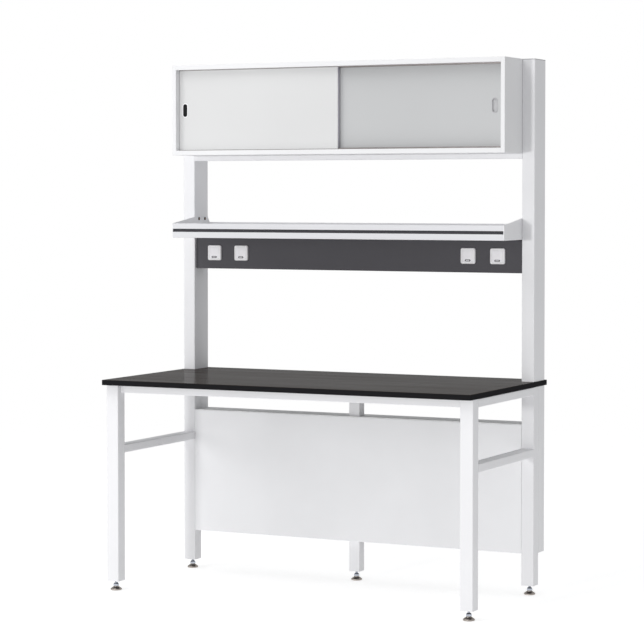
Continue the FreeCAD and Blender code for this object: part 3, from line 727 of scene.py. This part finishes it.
def doorPull(name, body):
    look = pullLook
    low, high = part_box(name)
    face = Vector(((low.x + high.x) / 2, low.y + look["flange"], (low.z + high.z) / 2))
    at = planeAt(face, sideways, upwards, -rearwards)
    width, height = high.x - low.x, high.z - low.z
    depth = high.y - face.y

    def inset(trim):
        radius = width / 2 - trim - look["slack"]
        return roundedOutline(width - 2 * trim, height - 2 * trim, radius, radius, look["arcSteps"])

    flange, rim, wall = look["flange"], look["rim"], look["wall"]
    bm = bmesh.new()
    sections = [(inset(rim * inward), flange * out) for inward, out in look["rimRoll"]]
    joinRings(bm, raisedRings(at, sections), closed=True)
    makePiece(name + "_rim", bm, body, look["rimSlots"][name], name, sharpAngle=60.0)
    stepWidth, stepHeight = look["mouthStep"]
    mouth, shell, corner = flange * stepHeight, rim - wall, wall * look["backRound"]
    bm = bmesh.new()
    sections = [(inset(rim + wall * inward), wall - depth + wall * up) for inward, up in look["cupFloor"]]
    sections += [
        (inset(rim), mouth), (inset(rim - wall * stepWidth), mouth),
        (inset(shell), 0.0), (inset(shell), corner - depth), (inset(shell + corner), -depth),
    ]
    joinRings(bm, raisedRings(at, sections))
    makePiece(name + "_cup", bm, body, slotOfNode[name], name, sharpAngle=60.0)


# screws and bolts
fixingLook = {
    "boltWasher": 0.9 * mm,
    "washerEdge": 0.3,          # rounding of the washer, in its thickness
    "washerTop": 0.4,           # radius at which its upper face ends, under the cap
    "boltReach": 4.0 * mm,      # top of the cap over the bracket
    "boltSteps": 48,
    "capRadius": 3.4 * mm,
    "capRise": 0.5 * mm,        # upright part of the cap over the washer
    "capFoot": 0.8,             # where the cap starts in the washer's thickness
    "domeSteps": 9,
    "screwRadius": 3.6 * mm,
    "screwHeight": 1.8 * mm,
    "screwSink": 0.2 * mm,      # part of the head in the panel
    "screwUpright": 0.25,       # share of the head's height that is upright
    "screwFlat": 0.55,          # share of its radius that no slope reaches
    "screwRounds": 5,           # steps of 90 degrees, the last one left out
    "screwDrive": 3.2 * mm,     # hexagonal recess across its flats
    "screwRecess": (0.98, 0.3),  # its mouth and its floor, in the head's height
    "screwSteps": 36,
    "screwInset": 12.0 * mm,    # from the ends of a panel
    "panelRows": {"chase_rear_panel": (0.08, 0.5, 0.92), "power_panel_cover": (0.2, 0.8)},
}


def boltWasher(name, at, radius):
    look = fixingLook
    thick = look["boltWasher"]
    edge = thick * look["washerEdge"]
    profile = [(radius, 0.0), (radius, thick - edge), (radius - edge, thick)]
    profile.append((radius * look["washerTop"], thick))
    bm = bmesh.new()
    joinRings(bm, turnedRings(at, profile, look["boltSteps"]))
    makePiece(name, bm, "bench", "zinc", "shelf_bolts", finish="black_plastic")


def boltCap(name, at):
    look = fixingLook
    cap, thick = look["capRadius"], look["boltWasher"]
    start = thick + look["capRise"]
    dome = [(cap, thick * look["capFoot"]), (cap, start)]
    for step in range(1, look["domeSteps"]):
        turn = math.pi / 2 * step / look["domeSteps"]
        dome.append((cap * math.cos(turn), start + (look["boltReach"] - start) * math.sin(turn)))
    bm = bmesh.new()
    joinRings(bm, turnedRings(at, dome, look["boltSteps"]))
    makePiece(name, bm, "bench", "zinc", "shelf_bolts", sharpAngle=60.0, finish="dark_zinc")


def shelfBolts():
    # each bolt has a black washer and a brown domed end
    low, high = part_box("shelf_bolts")
    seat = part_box("shelf_tray")[1].x
    radius = (high.z - low.z) / 2
    places = [(side, y) for side in (-1, 1) for y in (low.y + radius, high.y - radius)]
    for number, (side, y) in enumerate(places, 1):
        place = Vector((side * seat, y, low.z + radius))
        at = planeAt(place, rearwards, upwards, sideways * -side)
        boltWasher(f"shelf_bolt_washer_{number}", at, radius)
        boltCap(f"shelf_bolt_cap_{number}", at)


def screwHead(bm, at):
    look = fixingLook
    radius, high, steps = look["screwRadius"], look["screwHeight"], look["screwSteps"]
    upright, flat = look["screwUpright"], look["screwFlat"]
    full = circleOutline(radius, steps)
    sections = [(full, -look["screwSink"]), (full, high * upright)]
    for step in range(1, look["screwRounds"]):
        turn = math.pi / 2 * step / look["screwRounds"]
        slope = circleOutline(radius * (flat + (1 - flat) * math.cos(turn)), steps)
        sections.append((slope, high * (upright + (1 - upright) * math.sin(turn))))
    recess = hexOutline(look["screwDrive"], look["screwDrive"], steps)
    sections += [(recess, high * share) for share in look["screwRecess"]]
    joinRings(bm, raisedRings(at, sections))


def panelScrews():
    look = fixingLook
    for name, rows in look["panelRows"].items():
        low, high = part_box(name)
        bm = bmesh.new()
        for side in (-1, 1):
            for row in rows:
                x = side * (high.x - look["screwInset"])
                place = Vector((x, high.y, low.z + (high.z - low.z) * row))
                screwHead(bm, planeAt(place, -sideways, upwards, rearwards))
        makePiece(name + "_screws", bm, "bench", "zinc")


# strips on the doors' meeting edges, darker than the doors: painted shade of the seam between them
bandLook = {
    "thickness": 0.5 * mm,
    "roundFrom": 0.5,           # share of the thickness where the trimmed edge starts
    "trim": 0.4 * mm,
    "width": 7.0 * mm,
    "setBack": 6.5 * mm,        # from the front face of the door
}


def doorBand(door, side):
    look = bandLook
    low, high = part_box(door)
    x = high.x if side > 0 else low.x
    width, height = look["width"], high.z - low.z
    middle = Vector((x, low.y + look["setBack"] + width / 2, low.z + height / 2))
    at = planeAt(middle, rearwards, upwards, sideways * side)
    thick, trim = look["thickness"], look["trim"]
    full = roundedOutline(width, height, trim, trim)
    face = roundedOutline(width - trim, height - trim, trim / 2, trim / 2)
    sections = [(full, -thick), (full, thick * look["roundFrom"]), (face, thick)]
    bm = bmesh.new()
    joinRings(bm, raisedRings(at, sections))
    makePiece(door + "_band", bm, door, "dark_plastic", finish="band_plastic")


levellingFeet()
socketCovers()
socketContacts()
doorPull("left_door_pull", "left_door")
doorPull("right_door_pull", "right_door")
shelfBolts()
panelScrews()
doorBand("left_door", 1)
doorBand("right_door", -1)
print("scene's own pieces made")


# floor, light and camera
floorLook = {
    "radius": 7.0,
    "segments": 96,
    "clear": 3.2,               # the floor fades out between these two distances
    "faded": 6.5,
    "shade": 0.5,
    "mottleScale": 3.0,
    "mottleTones": (0.99, 1.01),
    "roughness": 0.9,
    "glow": 0.56,               # light that the floor throws on the bench
    "shownGlow": 0.74,          # brightness that the camera sees
}


def paleFloor():
    look = floorLook
    mesh = bpy.data.meshes.new("floor")
    bm = bmesh.new()
    bmesh.ops.create_circle(bm, cap_ends=True, radius=look["radius"], segments=look["segments"])
    bm.to_mesh(mesh)
    bm.free()
    floor = bpy.data.objects.new("floor", mesh)
    bpy.context.scene.collection.objects.link(floor)
    material, tree, shader = newFinish("floor_finish")
    mottle = grainOf(tree, objectPlace(tree), look["mottleScale"])
    tint = twoTones(tree, mottle, (look["shade"],) * 3, look["mottleTones"])
    tree.links.new(tint, shader.inputs["Base Color"])
    shader.inputs["Roughness"].default_value = look["roughness"]
    shader.inputs["Specular IOR Level"].default_value = 0.0
    shader.inputs["Emission Color"].default_value = (1, 1, 1, 1)
    path = tree.nodes.new("ShaderNodeLightPath")
    seen = path.outputs["Is Camera Ray"]
    glow = spreadOver(tree, seen, look["glow"], look["shownGlow"], 0.0, 1.0)
    tree.links.new(glow, shader.inputs["Emission Strength"])
    where = tree.nodes.new("ShaderNodeNewGeometry")
    length = tree.nodes.new("ShaderNodeVectorMath")
    length.operation = "LENGTH"
    tree.links.new(where.outputs["Position"], length.inputs[0])
    fade = spreadOver(tree, length.outputs["Value"], 1.0, 0.0, look["clear"], look["faded"])
    tree.links.new(fade, shader.inputs["Alpha"])
    mesh.materials.append(material)


worldLook = {
    "tint": (0.98, 0.99, 1.0, 1),
    "ambient": 0.52,            # light from all round
    "backdrop": 1.0,            # brightness that the camera sees
}


def paleWorld():
    look = worldLook
    world = bpy.data.worlds.new("studio")
    bpy.context.scene.world = world
    world.use_nodes = True
    tree = world.node_tree
    tree.nodes.clear()
    path = tree.nodes.new("ShaderNodeLightPath")
    mix = tree.nodes.new("ShaderNodeMixShader")
    tree.links.new(path.outputs["Is Camera Ray"], mix.inputs["Fac"])
    for place, colour, strength in (
        (1, look["tint"], look["ambient"]),
        (2, (1, 1, 1, 1), look["backdrop"]),
    ):
        light = tree.nodes.new("ShaderNodeBackground")
        light.inputs["Color"].default_value = colour
        light.inputs["Strength"].default_value = strength
        tree.links.new(light.outputs["Background"], mix.inputs[place])
    output = tree.nodes.new("ShaderNodeOutputWorld")
    tree.links.new(mix.outputs["Shader"], output.inputs["Surface"])


lampLooks = {
    "keyLamp": {"place": (-0.9, -7.4, 1.35), "aim": (0, 0, 1.0), "size": 0.5, "power": 114.0},
    "sideLamp": {"place": (-5.2, -5.6, 1.4), "aim": (0, 0, 1.0), "size": 2.6, "power": 54.0},
    "topLamp": {"place": (-1.5, -2.5, 5.0), "aim": (0, 0, 1.0), "size": 3.0, "power": 64.0},
}


def softLamp(name, look):
    data = bpy.data.lights.new(name, "AREA")
    data.shape = "DISK"
    data.size = look["size"]
    data.energy = look["power"]
    lamp = bpy.data.objects.new(name, data)
    bpy.context.scene.collection.objects.link(lamp)
    lamp.location = look["place"]
    direction = Vector(look["aim"]) - Vector(look["place"])
    lamp.rotation_euler = direction.to_track_quat("-Z", "Y").to_euler()


cameraLook = {
    "place": (3.831, -7.824, 1.499),
    "turn": 26.15,              # degrees to the left of straight back
    "down": 2.0,                # degrees
    "lens": 129.63,             # millimetres, like the sensor's width
    "sensor": 36.0,
    "shiftY": -0.0731,
    "farthest": 100.0,
}


def viewCamera():
    look = cameraLook
    data = bpy.data.cameras.new("camera")
    data.lens = look["lens"]
    data.sensor_width = look["sensor"]
    data.shift_y = look["shiftY"]
    data.clip_end = look["farthest"]
    camera = bpy.data.objects.new("camera", data)
    bpy.context.scene.collection.objects.link(camera)
    camera.location = look["place"]
    camera.rotation_euler = (math.radians(90 - look["down"]), 0, math.radians(look["turn"]))
    bpy.context.scene.camera = camera


paleFloor()
paleWorld()
for lampName, lampLook in lampLooks.items():
    softLamp(lampName, lampLook)
viewCamera()
bpy.context.scene.view_settings.view_transform = "Standard"
print("floor, light and camera in place")
